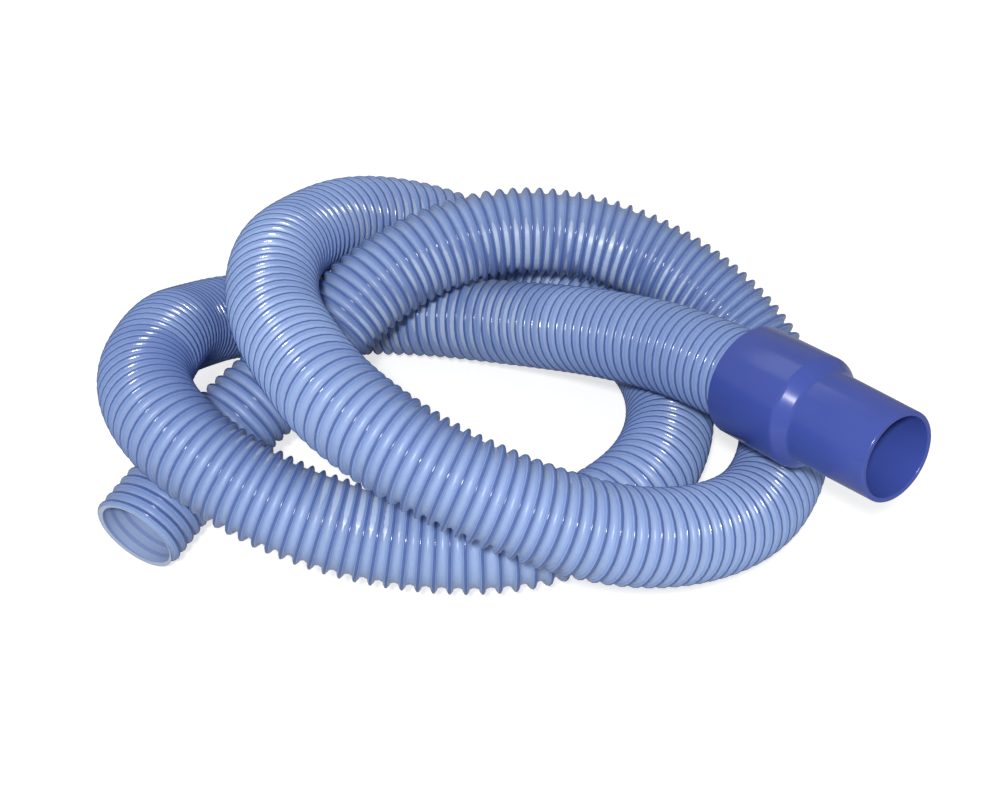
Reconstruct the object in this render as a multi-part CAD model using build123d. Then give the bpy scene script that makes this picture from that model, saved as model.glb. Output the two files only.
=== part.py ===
"""A 38 mm pool cleaner hose lying in loops on the ground, with a swivel cuff on one end.

The origin is on the ground, under the middle of the whole part. +Z is up. The hose is a
spiral-wound tube that ends in a plain cut. The cuff is two mouldings: an insert that is
fixed on the hose, and a shell that turns on it and is held by the insert's flange.
"""

import os
from math import radians, tan

from build123d import *

# Hose, over its spiral bead. Its wall is drawn plain.
HOSE_RADIUS = 22.5
HOSE_WALL = 3.5
HOSE_BORE_RADIUS = HOSE_RADIUS - HOSE_WALL
HOSE_SIDES = 12  # of the long tube, between the round stretches at its ends
STEP_IN = 0.1  # of the many-sided bore, inside the round one
CORNER_SHARE = 0.45  # of the shorter run beside a corner, taken by the corner's arc
ROUND_SHARE = 0.52  # of the first and last runs, for the round stretches
BORED_CORNERS = 2  # corners of the route that the open bore follows from each end

# Swivel insert, fixed on the hose inside the cuff's sleeve
HOSE_DEPTH = 33.0  # from the sleeve's rim to the hose's end
INSERT_WALL = 1.6
FLANGE_HEIGHT = 1.1
FLANGE_LENGTH = 3.0
STOP_LENGTH = 4.0  # ring in front of the hose's end
STOP_RELIEF = 0.2  # of the ring's bore, outside the hose's bore
LEAD_IN_LENGTH = 2.0  # flare where the hose enters
LEAD_IN_WIDTH = 1.0
INSERT_RADIUS = HOSE_RADIUS + INSERT_WALL
FLANGE_RADIUS = INSERT_RADIUS + FLANGE_HEIGHT
INSERT_LENGTH = HOSE_DEPTH + STOP_LENGTH

# Cuff shell, from the sleeve's rim on the hose to the mouth of the spigot
RUNNING_GAP = 0.3  # between the insert and the shell
SLEEVE_WALL = 1.5  # over the pocket for the insert's flange
SLEEVE_FRONT = 2.6  # from the pocket to the shoulder
SHOULDER_LENGTH = 6.6
SPIGOT_BORE_RADIUS = HOSE_BORE_RADIUS
SPIGOT_ROOT_WALL = 3.3
SPIGOT_MOUTH_WALL = 2.4
SPIGOT_LENGTH = 43.1
BORE_RUN_IN = 1.0  # of the spigot's bore, past the spigot's root
SHOULDER_CHAMFER = 1.0
RIM_CHAMFER = 0.7

# Route of the hose's centre line, from its end inside the cuff to its cut end
ROUTE = [
    (139, -73.5, 91.5),
    (103, -25.5, 78.5),
    (60, 12.5, 62),
    (14, 51.5, 36),
    (-44, 72.5, 26),
    (-102, 78.5, 22),
    (-140, 64.5, 36.5),
    (-158, 31.5, 47),
    (-164, 3.5, 68),
    (-169, -37.5, 74),
    (-148, -76.5, 76),
    (-104, -100.5, 58),
    (-49, -109.5, 40),
    (18, -108.5, 36),
    (68, -74.5, 35),
    (91, -19.5, 24.5),
    (89, 32.5, 22.5),
    (59, 76.5, 23.5),
    (25, 110.5, 22.5),
    (-10, 132.5, 31),
    (-46, 127.5, 49),
    (-79, 106.5, 67),
    (-101, 67.5, 82),
    (-109, 25.5, 99),
    (-105, -18.5, 103),
    (-87.5, -59, 108.5),
    (-64.5, -98.5, 111.5),
    (-15, -127.5, 96),
    (57, -132.5, 65),
    (116, -96.5, 37),
    (144, -45.5, 26),
    (147, 2.5, 36),
    (118, 38.5, 58),
    (72, 71.5, 73),
    (16, 78.5, 81),
    (-32, 63.5, 77),
    (-69, 33.5, 65),
    (-97, 3.5, 49),
    (-125, -25.5, 42),
    (-151, -53.5, 27),
    (-169.5, -88.5, 22.4),
]


def corner_radii(route):
    """Radius of the arc at each corner of the route."""
    radii = []
    for before, corner, after in zip(route, route[1:], route[2:]):
        run_in, run_out = corner - before, after - corner
        half_turn = radians(run_in.get_angle(run_out)) / 2
        radii.append(CORNER_SHARE * min(run_in.length, run_out.length) / tan(half_turn))
    return radii


def many_sided_rod(points, radii, rod_radius):
    """A rod along points joined by arcs, with its long edges at the given radius."""
    path = FilletPolyline(*points, radius=radii)
    section = Plane(origin=path @ 0, z_dir=path % 0) * RegularPolygon(rod_radius, HOSE_SIDES)
    return sweep(section, path=path)


def round_rod(start, way, length, rod_radius):
    """A round rod from a point, along a direction."""
    return extrude(Plane(origin=start, z_dir=way) * Circle(rod_radius), length)


def end_stretch(route):
    """Start, direction and length of the straight stretch at the first end of a route."""
    run = route[1] - route[0]
    return route[0], run.normalized(), ROUND_SHARE * run.length


def make_hose(route):
    """The tube along the whole route, round and bored at both ends."""
    radii = corner_radii(route)
    print("arc radii, mm:", [round(radius) for radius in radii])
    backwards = route[::-1]
    ends = [end_stretch(route), end_stretch(backwards)]
    first, last = (start + way * length for start, way, length in ends)
    hose = many_sided_rod([first, *route[1:-1], last], radii, HOSE_RADIUS)
    for start, way, length in ends:
        hose += round_rod(start, way, length, HOSE_RADIUS)
    for (start, way, length), points, arcs in zip(ends, (route, backwards), (radii, radii[::-1])):
        inner_end = (points[BORED_CORNERS] + points[BORED_CORNERS + 1]) / 2
        way_in = [start + way * length / 2, *points[1 : BORED_CORNERS + 1], inner_end]
        hose -= many_sided_rod(way_in, arcs[:BORED_CORNERS], HOSE_BORE_RADIUS - STEP_IN)
        hose -= round_rod(start, way, length, HOSE_BORE_RADIUS)
    return hose


def turned(outline):
    """A solid turned about Z from an outline of (radius, height) corners."""
    face = make_face(Polyline(*[(radius, 0, height) for radius, height in outline], close=True))
    return revolve(face, Axis.Z)


def rings(solid, radii_and_heights):
    """The circular edges of a turned solid at the given radii and heights."""
    circles = solid.edges().filter_by(GeomType.CIRCLE)
    return [
        circle
        for circle in circles
        for radius, height in radii_and_heights
        if abs(circle.radius - radius) < 0.01 and abs(circle.arc_center.Z - height) < 0.01
    ]


def make_shell():
    """The turning shell, standing on its sleeve's rim: sleeve, shoulder and spigot."""
    sleeve_bore = INSERT_RADIUS + RUNNING_GAP
    pocket = FLANGE_RADIUS + RUNNING_GAP
    pocket_rear = INSERT_LENGTH - FLANGE_LENGTH - RUNNING_GAP
    pocket_front = INSERT_LENGTH + RUNNING_GAP
    sleeve_radius = pocket + SLEEVE_WALL
    sleeve_length = pocket_front + SLEEVE_FRONT
    root_radius = SPIGOT_BORE_RADIUS + SPIGOT_ROOT_WALL
    root = sleeve_length + SHOULDER_LENGTH
    mouth_radius = SPIGOT_BORE_RADIUS + SPIGOT_MOUTH_WALL
    mouth = root + SPIGOT_LENGTH
    shell = turned([
        (sleeve_bore, 0),
        (sleeve_radius, 0),
        (sleeve_radius, sleeve_length),
        (root_radius, root),
        (mouth_radius, mouth),
        (SPIGOT_BORE_RADIUS, mouth),
        (SPIGOT_BORE_RADIUS, root - BORE_RUN_IN),
        (pocket, pocket_front),
        (pocket, pocket_rear),
        (sleeve_bore, pocket_rear),
    ])
    shoulder = [(sleeve_radius, sleeve_length), (root_radius, root)]
    rims = [(sleeve_radius, 0), (mouth_radius, mouth), (SPIGOT_BORE_RADIUS, mouth)]
    shell = chamfer(rings(shell, shoulder), SHOULDER_CHAMFER)
    return chamfer(rings(shell, rims), RIM_CHAMFER)


def make_insert():
    """The fixed insert: a barrel over the hose's end, a flange, and a ring as its stop."""
    stop_bore = HOSE_BORE_RADIUS + STOP_RELIEF
    return turned([
        (HOSE_RADIUS + LEAD_IN_WIDTH, 0),
        (INSERT_RADIUS, 0),
        (INSERT_RADIUS, INSERT_LENGTH - FLANGE_LENGTH),
        (FLANGE_RADIUS, INSERT_LENGTH - FLANGE_LENGTH),
        (FLANGE_RADIUS, INSERT_LENGTH),
        (stop_bore, INSERT_LENGTH),
        (stop_bore, HOSE_DEPTH),
        (HOSE_RADIUS, HOSE_DEPTH),
        (HOSE_RADIUS, LEAD_IN_LENGTH),
    ])


def main():
    route = [Vector(*point) for point in ROUTE]
    outwards = (route[0] - route[1]).normalized()
    rim = Plane(origin=route[0] - outwards * HOSE_DEPTH, z_dir=outwards)
    print("sleeve rim, mm:", rim.origin, "cuff axis:", outwards)
    pieces = {
        "hose": make_hose(route),
        "swivel_insert": rim.location * make_insert(),
        "cuff_shell": rim.location * make_shell(),
    }
    os.makedirs("parts", exist_ok=True)
    for name, piece in pieces.items():
        piece.label = name
        export_step(piece, f"parts/{name}.step")


main()
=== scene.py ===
"""A pool cleaner hose in loops on the ground: a spiral-wound tube with a swivel cuff on one end."""

from math import pi, radians

import bmesh
import bpy
import numpy
from mathutils import Matrix, Vector


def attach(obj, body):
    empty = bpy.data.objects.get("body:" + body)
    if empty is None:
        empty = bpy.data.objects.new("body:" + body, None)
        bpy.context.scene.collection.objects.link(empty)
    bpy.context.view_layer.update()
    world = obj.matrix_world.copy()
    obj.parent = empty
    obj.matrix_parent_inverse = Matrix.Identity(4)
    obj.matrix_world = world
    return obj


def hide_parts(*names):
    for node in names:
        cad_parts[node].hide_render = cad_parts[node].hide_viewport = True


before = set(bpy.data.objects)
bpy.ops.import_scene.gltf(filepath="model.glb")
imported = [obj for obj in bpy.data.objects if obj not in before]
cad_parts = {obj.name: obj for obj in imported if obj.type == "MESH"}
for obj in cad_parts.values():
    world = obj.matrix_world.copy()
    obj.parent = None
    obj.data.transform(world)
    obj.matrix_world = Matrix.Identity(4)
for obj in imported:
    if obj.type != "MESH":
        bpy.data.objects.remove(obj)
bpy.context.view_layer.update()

# ---------------------------------------------------------------- Camera
# A camera on a tripod in front of the hose, about 0.8 m away, tilted down
# a little more than forty degrees.
camera = bpy.data.objects.new("camera", bpy.data.cameras.new("camera"))
bpy.context.collection.objects.link(camera)
camera.data.lens = 56.95
camera.location = (0.003, -0.5957, 0.5778)
camera.rotation_euler = (radians(47.3), 0, 0)
bpy.context.scene.camera = camera

# ---------------------------------------------------------------- Lie of the hose
# The hose lies in overlapping loops, from its end inside the cuff to its cut end.
# It is springy and holds its cuff up. The points steer its centre line, in metres.
ROUTE = [
    (0.139, -0.0735, 0.0915), (0.103, -0.0255, 0.0785), (0.060, 0.0125, 0.062),
    (0.014, 0.0515, 0.036), (-0.044, 0.0725, 0.026), (-0.102, 0.075, 0.0225),
    (-0.140, 0.062, 0.0335), (-0.158, 0.0335, 0.049), (-0.164, 0.0035, 0.068),
    (-0.169, -0.0375, 0.074), (-0.148, -0.0765, 0.076), (-0.104, -0.1005, 0.058),
    (-0.049, -0.1095, 0.040), (0.018, -0.1085, 0.036), (0.068, -0.0745, 0.035),
    (0.091, -0.0195, 0.0245), (0.089, 0.0325, 0.0225), (0.059, 0.0765, 0.0235),
    (0.025, 0.1105, 0.0225), (-0.010, 0.1325, 0.031), (-0.046, 0.1275, 0.049),
    (-0.079, 0.1065, 0.067), (-0.101, 0.0675, 0.082), (-0.109, 0.0255, 0.099),
    (-0.105, -0.0185, 0.103), (-0.0875, -0.059, 0.1085), (-0.0645, -0.0985, 0.1115),
    (-0.015, -0.1275, 0.096), (0.057, -0.1325, 0.065), (0.116, -0.0965, 0.037),
    (0.144, -0.0455, 0.026), (0.147, 0.0025, 0.036), (0.119, 0.0395, 0.0585),
    (0.072, 0.0715, 0.073), (0.016, 0.0785, 0.081), (-0.032, 0.0635, 0.078),
    (-0.0705, 0.0352, 0.0674), (-0.097, 0.0035, 0.049), (-0.125, -0.0255, 0.042),
    (-0.151, -0.0535, 0.027), (-0.1695, -0.0885, 0.0224),
]
guide = bpy.data.curves.new("hose_route", "CURVE")
guide.dimensions = "3D"
guide.resolution_u = 24
line = guide.splines.new("NURBS")
line.points.add(len(ROUTE) - 1)
for point, place in zip(line.points, ROUTE):
    point.co = (*place, 1)
line.order_u = 3
line.use_endpoint_u = True
guide_object = bpy.data.objects.new("hose_route", guide)
guide_mesh = bpy.data.meshes.new_from_object(guide_object)
centre = numpy.array([vertex.co for vertex in guide_mesh.vertices])
bpy.data.objects.remove(guide_object)

# Distance along the line, its direction and its bend, and two directions square to
# it that are carried along without twisting.
steps_along = numpy.linalg.norm(numpy.diff(centre, axis=0), axis=1)
along = numpy.concatenate([[0], steps_along.cumsum()])
HOSE_LENGTH = along[-1]
forwards = numpy.gradient(centre, along, axis=0)
forwards /= numpy.linalg.norm(forwards, axis=1)[:, None]
sideways = [Vector((0, 0, 1)).cross(Vector(forwards[0])).normalized()]
for direction in forwards[1:]:
    carried = sideways[-1] - sideways[-1].dot(Vector(direction)) * Vector(direction)
    sideways.append(carried.normalized())
sideways = numpy.array(sideways)
upwards = numpy.cross(forwards, sideways)
bend = numpy.gradient(forwards, along, axis=0)


def at(distance, table):
    """Values of a table of vectors at distances along the hose."""
    return numpy.stack([numpy.interp(distance, along, column) for column in table.T], 1)


def outwards(distance, angle):
    """Directions out from the centre line, at distances along it and angles round it."""
    return (numpy.cos(angle)[:, None] * at(distance, sideways)
            + numpy.sin(angle)[:, None] * at(distance, upwards))


# ---------------------------------------------------------------- Hose
# A right-handed spiral of stiff blue bead with a pale soft web between its turns,
# extruded together and wound hot. Turns close up or spread where the hose bends.
HOSE_RADIUS = 0.0225
HOSE_WALL = 0.0035
BORE_RADIUS = HOSE_RADIUS - HOSE_WALL
BEAD_WIDTH = 0.0036
BEAD_LIMIT = 0.75  # of the pitch, where the turns crowd
# Distances along the hose, and the pitch of the turns there.
PITCHES = [
    (0.00, 0.0052), (0.12, 0.0053), (0.17, 0.0062), (0.25, 0.0062), (0.35, 0.0048),
    (0.41, 0.0044), (0.47, 0.0049), (0.53, 0.0055), (0.58, 0.0063), (0.64, 0.0068),
    (0.71, 0.0066), (0.77, 0.0056), (0.85, 0.0058), (0.95, 0.0062), (1.05, 0.0064),
    (1.14, 0.0064), (1.19, 0.0064), (1.25, 0.0063), (1.29, 0.0057), (1.33, 0.0056),
    (1.37, 0.0059), (1.45, 0.0062), (1.54, 0.0062), (1.61, 0.0050), (1.67, 0.0053),
    (1.72, 0.0061), (1.86, 0.0060), (1.92, 0.0054), (2.04, 0.0056),
]
# Share of the way across the bead (0 to 1) or the web (1 to 2), and the depth
# under the bead's crest, of the outside and of the bore.
OUTSIDE = [
    (0, 0.0027), (0.11, 0.0015), (0.32, 0.0003), (0.5, 0), (0.68, 0.0003),
    (0.89, 0.0015), (1, 0.0027), (1.5, 0.0033),
]
BORE = [(0.2, HOSE_WALL), (0.5, HOSE_WALL), (0.8, HOSE_WALL), (1.5, 0.00335)]
AROUND = 32  # faces round the hose
# The bore follows the bead turn by turn only near the hose's ends, where it can be
# seen. Between them it has a few long turns.
SEEN_TURNS = 14
UNSEEN_TURNS = 20
OVERRUN = 0.02  # of the winding, past each end of the hose, before the ends are cut
END_REACH = 0.03  # round an end, that holds all that its cut goes through
TOUCHING = 0.00001
# Painted shade: where a bend crowds the turns, the web and lining are painted as deep a
# blue as the bead, for the shade in the folds, and a tight loop is painted darker all
# round. Its spread is its share of the usual pitch, to a power, less what the loop takes.
# Between two amounts of spread the painted shade goes from full to none.
USUAL_PITCH = 0.0062
SPREAD_POWER = 0.6
LOOP_SHADE = 0.5
FULL_SHADE_SPREAD = 0.45
NO_SHADE_SPREAD = 1.15
BEAD, FLANK, WEB, LINING_BEAD, LINING, CUT_RIM = range(6)

stations = numpy.linspace(-OVERRUN, HOSE_LENGTH + OVERRUN, num=4000)
pitch_there = numpy.interp(stations, *zip(*PITCHES))
turns_by = numpy.concatenate([[0], numpy.cumsum(numpy.diff(stations) / pitch_there[1:])])
TURNS = int(turns_by[-1])
turn_starts = numpy.interp(numpy.arange(TURNS + 1), turns_by, stations)


def cut_ends(tube, distance_layer):
    """Cuts a wound tube square at both ends of the hose."""
    for end, way in ((0, -1), (-1, 1)):
        near = [
            vertex for vertex in tube.verts
            if abs(vertex[distance_layer] - along[end]) < END_REACH
        ]
        near_set = set(near)
        edges = [edge for edge in tube.edges if near_set.issuperset(edge.verts)]
        faces = [face for face in tube.faces if near_set.issuperset(face.verts)]
        bmesh.ops.bisect_plane(
            tube, geom=near + edges + faces, plane_co=centre[end], plane_no=way * forwards[end],
            clear_outer=True, dist=1e-6,
        )


def wound_tube(cross, thread, slots):
    """A tube of faces that follow the spiral. Its own turns are threaded on the bead's
    turns, and slots holds the material after each column of the cross-section."""
    tube = bmesh.new()
    own_turns, steps = thread[-1][0], len(cross)
    bmesh.ops.create_grid(tube, x_segments=own_turns * steps, y_segments=AROUND, size=0.5)
    grid = numpy.array([vertex.co for vertex in tube.verts]) + 0.5
    column = numpy.rint(grid[:, 0] * own_turns * steps).astype(int)
    row = numpy.rint(grid[:, 1] * AROUND)
    angle = 2 * pi * row / AROUND

    # Where each vertex's turn starts, the pitch there, and how wide its bead is.
    turn = column // steps + row / AROUND
    start, after = (
        numpy.interp(numpy.interp(turn + more, *zip(*thread)), numpy.arange(TURNS + 1), turn_starts)
        for more in (0, 1)
    )
    pitch = after - start
    inside = start.clip(0, HOSE_LENGTH)
    stretch = 1 - HOSE_RADIUS * (at(inside, bend) * outwards(inside, angle)).sum(1)
    bead = numpy.minimum(BEAD_WIDTH / stretch, BEAD_LIMIT * pitch)

    # Where the vertex lies. Past the ends of the hose the winding runs on straight.
    share, depth = (numpy.array(values)[column % steps] for values in zip(*cross))
    distance = start + numpy.where(share <= 1, share * bead, bead + (share - 1) * (pitch - bead))
    inside = distance.clip(0, HOSE_LENGTH)
    past = (distance - inside)[:, None] * at(inside, forwards)
    out = outwards(inside, angle)
    places = at(inside, centre) + past + (HOSE_RADIUS - depth)[:, None] * out

    # How far the web is open there, from 0 to about 1, and so how much of the painted shade is lifted:
    # 0 is full painted shade.
    curl = HOSE_RADIUS * numpy.linalg.norm(at(inside, bend), axis=1)
    spread = (stretch * pitch / USUAL_PITCH) ** SPREAD_POWER * (1 - LOOP_SHADE * curl)
    fold_light = (spread - FULL_SHADE_SPREAD) / (NO_SHADE_SPREAD - FULL_SHADE_SPREAD)

    # The attribute "spread" carries this painted shade mask to the materials.
    distance_layer = tube.verts.layers.float.new("distance")
    fold_light_layer = tube.verts.layers.float.new("spread")
    for vertex, place, far, fold_light_share in zip(tube.verts, places, distance, fold_light):
        vertex.co = place
        vertex[distance_layer] = far
        vertex[fold_light_layer] = fold_light_share
    for face in tube.faces:
        face.smooth = True
        face.material_index = slots[min(column[vertex.index] for vertex in face.verts) % steps]
    bmesh.ops.remove_doubles(tube, verts=tube.verts, dist=TOUCHING)
    cut_ends(tube, distance_layer)
    return tube


skin = wound_tube(
    OUTSIDE, [(0, 0), (TURNS, TURNS)],
    [WEB, FLANK, BEAD, BEAD, FLANK, WEB, WEB, WEB],
)
lining = wound_tube(
    BORE,
    [
        (0, 0), (SEEN_TURNS, SEEN_TURNS), (SEEN_TURNS + UNSEEN_TURNS, TURNS - SEEN_TURNS),
        (SEEN_TURNS + UNSEEN_TURNS + SEEN_TURNS, TURNS),
    ],
    [LINING_BEAD, LINING_BEAD, LINING, LINING],
)
lining_mesh = bpy.data.meshes.new("hose_lining")
lining.to_mesh(lining_mesh)
lining.free()
skin.from_mesh(lining_mesh)
for end in (0, -1):
    tip = Vector(centre[end])
    rims = [
        edge for edge in skin.edges
        if edge.is_boundary and all((vertex.co - tip).length < END_REACH for vertex in edge.verts)
    ]
    filled = bmesh.ops.triangle_fill(skin, use_beauty=True, edges=rims, normal=forwards[end])
    for face in filled["geom"]:
        if isinstance(face, bmesh.types.BMFace):
            face.material_index = CUT_RIM
    for edge in rims:
        edge.smooth = False
bmesh.ops.recalc_face_normals(skin, faces=skin.faces)
hose_mesh = bpy.data.meshes.new("hose_skin")
skin.to_mesh(hose_mesh)
skin.free()
hose = bpy.data.objects.new("hose_skin", hose_mesh)
bpy.context.collection.objects.link(hose)


class Number:
    """A number among the nodes. Arithmetic on it adds Math nodes."""

    def __init__(self, finish, socket):
        self.finish, self.socket = finish, socket

    def worked(self, operation, other):
        """The result of one Math node on this number and another."""
        pair = {0: self, 1: other}
        return self.finish.number("ShaderNodeMath", {"operation": operation}, pair, "Value")

    def __add__(self, other):
        return self.worked("ADD", other)

    def __mul__(self, other):
        return self.worked("MULTIPLY", other)

    __radd__, __rmul__ = __add__, __mul__


class Finish:
    """A material, or the studio round the hose, while its nodes are put in."""

    def __init__(self, owner, shader, constants):
        owner.use_nodes = True
        self.owner = owner
        self.tree = owner.node_tree
        self.shader = self.tree.nodes[shader]
        self.fill(self.shader, constants)

    def fill(self, node, inputs):
        """Gives a node's inputs their values or links."""
        for name, value in inputs.items():
            value = getattr(value, "socket", value)
            if isinstance(value, bpy.types.NodeSocket):
                self.tree.links.new(value, node.inputs[name])
            else:
                node.inputs[name].default_value = value

    def node(self, kind, settings, inputs):
        """Adds a node, sets it, fills its inputs, and gives its outputs."""
        added = self.tree.nodes.new(kind)
        for name, value in settings.items():
            setattr(added, name, value)
        self.fill(added, inputs)
        return added.outputs

    def number(self, kind, settings, inputs, output):
        """Adds a node and gives one of its outputs as a number."""
        return Number(self, self.node(kind, settings, inputs)[output])

    def place(self):
        """The place of each point on the object."""
        return self.node("ShaderNodeTexCoord", {}, {})["Object"]

    def patches(self, scale):
        """Soft patches across the piece, from 0 to 1."""
        inputs = {"Vector": self.place(), "Scale": scale, "Detail": 2.0}
        return self.number("ShaderNodeTexNoise", {}, inputs, "Fac")

    def between(self, share, first, second):
        """A colour part of the way from the first to the second."""
        return self.node("ShaderNodeMix", {"data_type": "RGBA"}, {0: share, 6: first, 7: second})[2]

    def roughened(self, scale, height):
        """The surface's normal with fine moulding or extrusion marks."""
        return self.node("ShaderNodeBump", {}, {
            "Height": self.patches(scale), "Strength": 0.5, "Distance": height,
        })["Normal"]


def plastic(name, constants):
    """The start of a plastic's material."""
    return Finish(bpy.data.materials.new(name), "Principled BSDF", {"IOR": 1.5, **constants})


def hose_finish(name, fold_shade, dull, clear, roughness):
    """A translucent soft plastic, a little clouded in places, with painted shade that
    deepens its colour where the turns crowd and in tight loops."""
    finish = plastic(name, {
        "Subsurface Weight": 0.25, "Subsurface Radius": (0.6, 0.8, 1.0), "Subsurface Scale": 0.003,
    })
    clouding = finish.patches(scale=14)
    # The painted shade mask: 0 where the folds get the full painted shade, 1 where none is painted.
    spread = finish.node("ShaderNodeAttribute", {"attribute_name": "spread"}, {})["Fac"]
    finish.fill(finish.shader, {
        "Base Color": finish.between(spread, fold_shade, finish.between(clouding, dull, clear)),
        "Roughness": clouding * 0.1 + (roughness - 0.05),
        "Normal": finish.roughened(scale=900, height=0.0001),
    })
    hose_mesh.materials.append(finish.owner)


# One for each kind of face, in the order of BEAD to CUT_RIM.
# FOLD_SHADE is painted shade, the colour of web and lining where the turns crowd and in tight loops.
FOLD_SHADE = (0.105, 0.17, 0.43, 1)
RIM_BLUE = (0.48, 0.58, 0.77, 1)
hose_finish("hose_bead", (0.085, 0.14, 0.38, 1), (0.085, 0.14, 0.36, 1), (0.095, 0.155, 0.39, 1), 0.17)
hose_finish("hose_flank", FOLD_SHADE, (0.285, 0.405, 0.67, 1), (0.31, 0.435, 0.715, 1), 0.17)
hose_finish("hose_web", FOLD_SHADE, (0.375, 0.50, 0.76, 1), (0.405, 0.53, 0.80, 1), 0.36)
hose_finish("hose_lining_bead", FOLD_SHADE, (0.28, 0.37, 0.62, 1), (0.30, 0.39, 0.65, 1), 0.35)
hose_finish("hose_lining", FOLD_SHADE, (0.42, 0.53, 0.76, 1), (0.45, 0.56, 0.80, 1), 0.35)
hose_finish("hose_cut_rim", RIM_BLUE, RIM_BLUE, (0.54, 0.63, 0.81, 1), 0.5)
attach(hose, "hose")
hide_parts("hose")

# ---------------------------------------------------------------- Cuff shell
# The turning half of the cuff, one moulding of glossy royal-blue plastic: a sleeve
# over the hose's end, a sloped shoulder, and a slightly tapered spigot.
HOSE_DEPTH = 0.033  # from the sleeve's rim to the hose's end
INSERT_WALL = 0.0016
FLANGE_HEIGHT = 0.0011
FLANGE_LENGTH = 0.003
STOP_LENGTH = 0.004  # ring in front of the hose's end
RUNNING_GAP = 0.0003  # between the insert and the shell
SLEEVE_WALL = 0.0015  # over the pocket for the insert's flange
SLEEVE_FRONT = 0.0026  # from the pocket to the shoulder
SHOULDER_LENGTH = 0.0066
SPIGOT_ROOT_WALL = 0.0033
SPIGOT_MOUTH_WALL = 0.0024
SPIGOT_LENGTH = 0.0431
BORE_RUN_IN = 0.001  # of the spigot's bore, past the spigot's root
CREASE = radians(25)  # between faces that don't shade as one
INSERT_RADIUS = HOSE_RADIUS + INSERT_WALL
INSERT_LENGTH = HOSE_DEPTH + STOP_LENGTH
FLANGE_RADIUS = INSERT_RADIUS + FLANGE_HEIGHT
FLANGE_REAR = INSERT_LENGTH - FLANGE_LENGTH
SLEEVE_BORE = INSERT_RADIUS + RUNNING_GAP
POCKET_RADIUS = FLANGE_RADIUS + RUNNING_GAP
POCKET_REAR = FLANGE_REAR - RUNNING_GAP
POCKET_FRONT = INSERT_LENGTH + RUNNING_GAP
SLEEVE_RADIUS = POCKET_RADIUS + SLEEVE_WALL
SLEEVE_LENGTH = POCKET_FRONT + SLEEVE_FRONT
SPIGOT_ROOT = SLEEVE_LENGTH + SHOULDER_LENGTH
MOUTH = SPIGOT_ROOT + SPIGOT_LENGTH
cuff_way = (Vector(ROUTE[0]) - Vector(ROUTE[1])).normalized()
cuff_rim = Vector(ROUTE[0]) - HOSE_DEPTH * cuff_way
cuff_place = Matrix.Translation(cuff_rim) @ cuff_way.to_track_quat("Z", "Y").to_matrix().to_4x4()


def round_off(turned, radius, height, size):
    """Rounds the circular edge of a turned piece at a radius and height."""
    circle = [
        edge for edge in turned.edges
        if all(abs(Vector(vertex.co[:2]).length - radius) < TOUCHING
               and abs(vertex.co.z - height) < TOUCHING for vertex in edge.verts)
    ]
    bmesh.ops.bevel(
        turned, geom=circle, offset=size, segments=4, profile=0.5, affect="EDGES", material=-1,
    )


def turned_piece(name, outline, sides):
    """A piece turned about the cuff's axis. Each corner of its outline has a radius, a
    height above the sleeve's rim, and the size of the round on it, or 0."""
    turned = bmesh.new()
    corners = [turned.verts.new((radius, 0, height)) for radius, height, _ in outline]
    ring = [turned.edges.new(pair) for pair in zip(corners, corners[1:] + corners[:1])]
    bmesh.ops.spin(
        turned, geom=corners + ring, axis=(0, 0, 1), cent=(0, 0, 0), angle=2 * pi, steps=sides,
        use_merge=True,
    )
    bmesh.ops.recalc_face_normals(turned, faces=turned.faces)
    for radius, height, size in outline:
        if size:
            round_off(turned, radius, height, size)
    for face in turned.faces:
        face.smooth = True
    for edge in turned.edges:
        edge.smooth = edge.calc_face_angle(0) < CREASE
    bmesh.ops.transform(turned, matrix=cuff_place, verts=turned.verts)
    piece_mesh = bpy.data.meshes.new(name)
    turned.to_mesh(piece_mesh)
    turned.free()
    piece = bpy.data.objects.new(name, piece_mesh)
    bpy.context.collection.objects.link(piece)
    return piece


shell = turned_piece(
    "cuff_moulding",
    [
        (SLEEVE_BORE, 0, 0.0003),
        (SLEEVE_RADIUS, 0, 0.0007),
        (SLEEVE_RADIUS, SLEEVE_LENGTH, 0.0012),
        (BORE_RADIUS + SPIGOT_ROOT_WALL, SPIGOT_ROOT, 0.0012),
        (BORE_RADIUS + SPIGOT_MOUTH_WALL, MOUTH, 0.0008),
        (BORE_RADIUS, MOUTH, 0.0006),
        (BORE_RADIUS, SPIGOT_ROOT - BORE_RUN_IN, 0),
        (POCKET_RADIUS, POCKET_FRONT, 0),
        (POCKET_RADIUS, POCKET_REAR, 0),
        (SLEEVE_BORE, POCKET_REAR, 0),
    ],
    sides=128,
)
cuff_finish = plastic("cuff_plastic", {})
clouding = cuff_finish.patches(scale=40)
cuff_finish.fill(cuff_finish.shader, {
    "Base Color": cuff_finish.between(clouding, (0.048, 0.078, 0.35, 1), (0.057, 0.092, 0.395, 1)),
    "Roughness": clouding * 0.06 + 0.16,
    "Normal": cuff_finish.roughened(scale=500, height=0.00001),
})
shell.data.materials.append(cuff_finish.owner)
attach(shell, "cuff")
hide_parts("cuff_shell")

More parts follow.
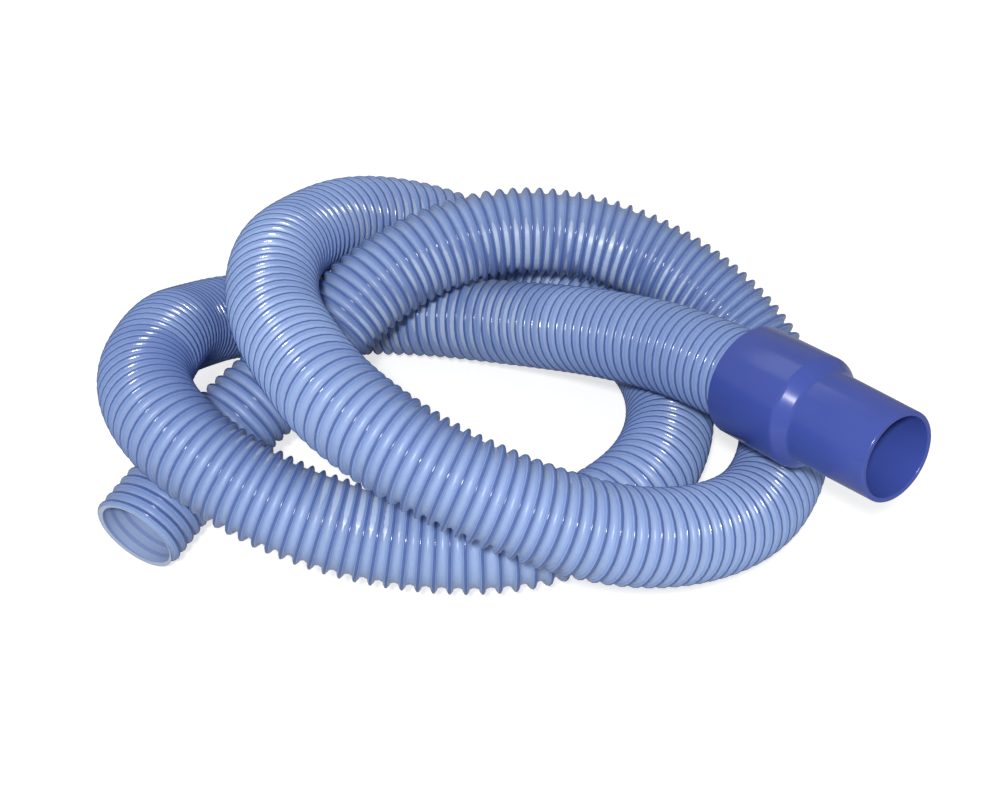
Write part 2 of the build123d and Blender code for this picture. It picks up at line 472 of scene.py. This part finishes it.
# ---------------------------------------------------------------- Swivel insert
# The fixed half of the cuff, in the same plastic. It is glued on the hose, stops it
# with a ring in front, and its flange holds the shell, which turns round it.
STOP_RELIEF = 0.0002  # of the ring's bore, outside the hose's bore
STOP_BORE = BORE_RADIUS + STOP_RELIEF
LEAD_IN_LENGTH = 0.002  # flare where the hose enters
LEAD_IN_WIDTH = 0.001
insert = turned_piece(
    "swivel_insert_moulding",
    [
        (HOSE_RADIUS + LEAD_IN_WIDTH, 0, 0.0002),
        (INSERT_RADIUS, 0, 0.0002),
        (INSERT_RADIUS, FLANGE_REAR, 0),
        (FLANGE_RADIUS, FLANGE_REAR, 0.0003),
        (FLANGE_RADIUS, INSERT_LENGTH, 0.0003),
        (STOP_BORE, INSERT_LENGTH, 0.0004),
        (STOP_BORE, HOSE_DEPTH, 0),
        (HOSE_RADIUS, HOSE_DEPTH, 0),
        (HOSE_RADIUS, LEAD_IN_LENGTH, 0),
    ],
    sides=96,
)
insert.data.materials.append(cuff_finish.owner)
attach(insert, "hose")
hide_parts("swivel_insert")

# ---------------------------------------------------------------- Ground and light
# A pale floor in a white studio, both brighter to the camera than to the hose. A small
# soft box is behind and above the camera, and a wide dim panel behind the hose, on the left.
floor = bmesh.new()
bmesh.ops.create_grid(floor, x_segments=1, y_segments=1, size=4)
ground_mesh = bpy.data.meshes.new("ground")
floor.to_mesh(ground_mesh)
floor.free()
ground = bpy.data.objects.new("ground", ground_mesh)
bpy.context.collection.objects.link(ground)


def to_camera(finish):
    """1 for what the camera sees straight, 0 for light on its way to other things."""
    return finish.number("ShaderNodeLightPath", {}, {}, "Is Camera Ray")


# The floor grows paler away from the hose, so that it meets the white round it softly.
ground_finish = Finish(bpy.data.materials.new("ground"), "Principled BSDF", {
    "Base Color": (0.5, 0.5, 0.5, 1), "Roughness": 0.9, "Emission Color": (1, 1, 1, 1),
})
away = ground_finish.number(
    "ShaderNodeVectorMath", {"operation": "LENGTH"}, {0: ground_finish.place()}, "Value",
)
glow = ground_finish.number("ShaderNodeMapRange", {}, {
    "Value": away, "From Min": 0.35, "From Max": 1.6, "To Min": 0.7, "To Max": 0.85,
}, "Result")
ground_finish.fill(ground_finish.shader, {"Emission Strength": to_camera(ground_finish) * glow})
ground_mesh.materials.append(ground_finish.owner)

STUDIO_LIGHT = 0.4  # of the studio's white, that lights the hose
studio = Finish(bpy.data.worlds.new("studio"), "Background", {"Color": (1, 1, 1, 1)})
studio.fill(studio.shader, {"Strength": to_camera(studio) * (1 - STUDIO_LIGHT) + STUDIO_LIGHT})
bpy.context.scene.world = studio.owner


def soft_box(name, place, target, width, height, power):
    """A rectangular lamp that faces a point."""
    lamp = bpy.data.lights.new(name, "AREA")
    lamp.shape = "RECTANGLE"
    lamp.size = width
    lamp.size_y = height
    lamp.energy = power
    stand = bpy.data.objects.new(name, lamp)
    stand.location = place
    stand.rotation_euler = (Vector(target) - Vector(place)).to_track_quat("-Z", "Y").to_euler()
    bpy.context.collection.objects.link(stand)


soft_box("front_box", (-0.06, -0.83, 0.92), (0, 0, 0.05), width=0.09, height=0.08, power=10.5)
soft_box("back_panel", (-0.37, 0.76, 0.98), (0.12, -0.05, 0.08), width=0.8, height=0.35, power=0.9)
bpy.context.scene.view_settings.view_transform = "Standard"
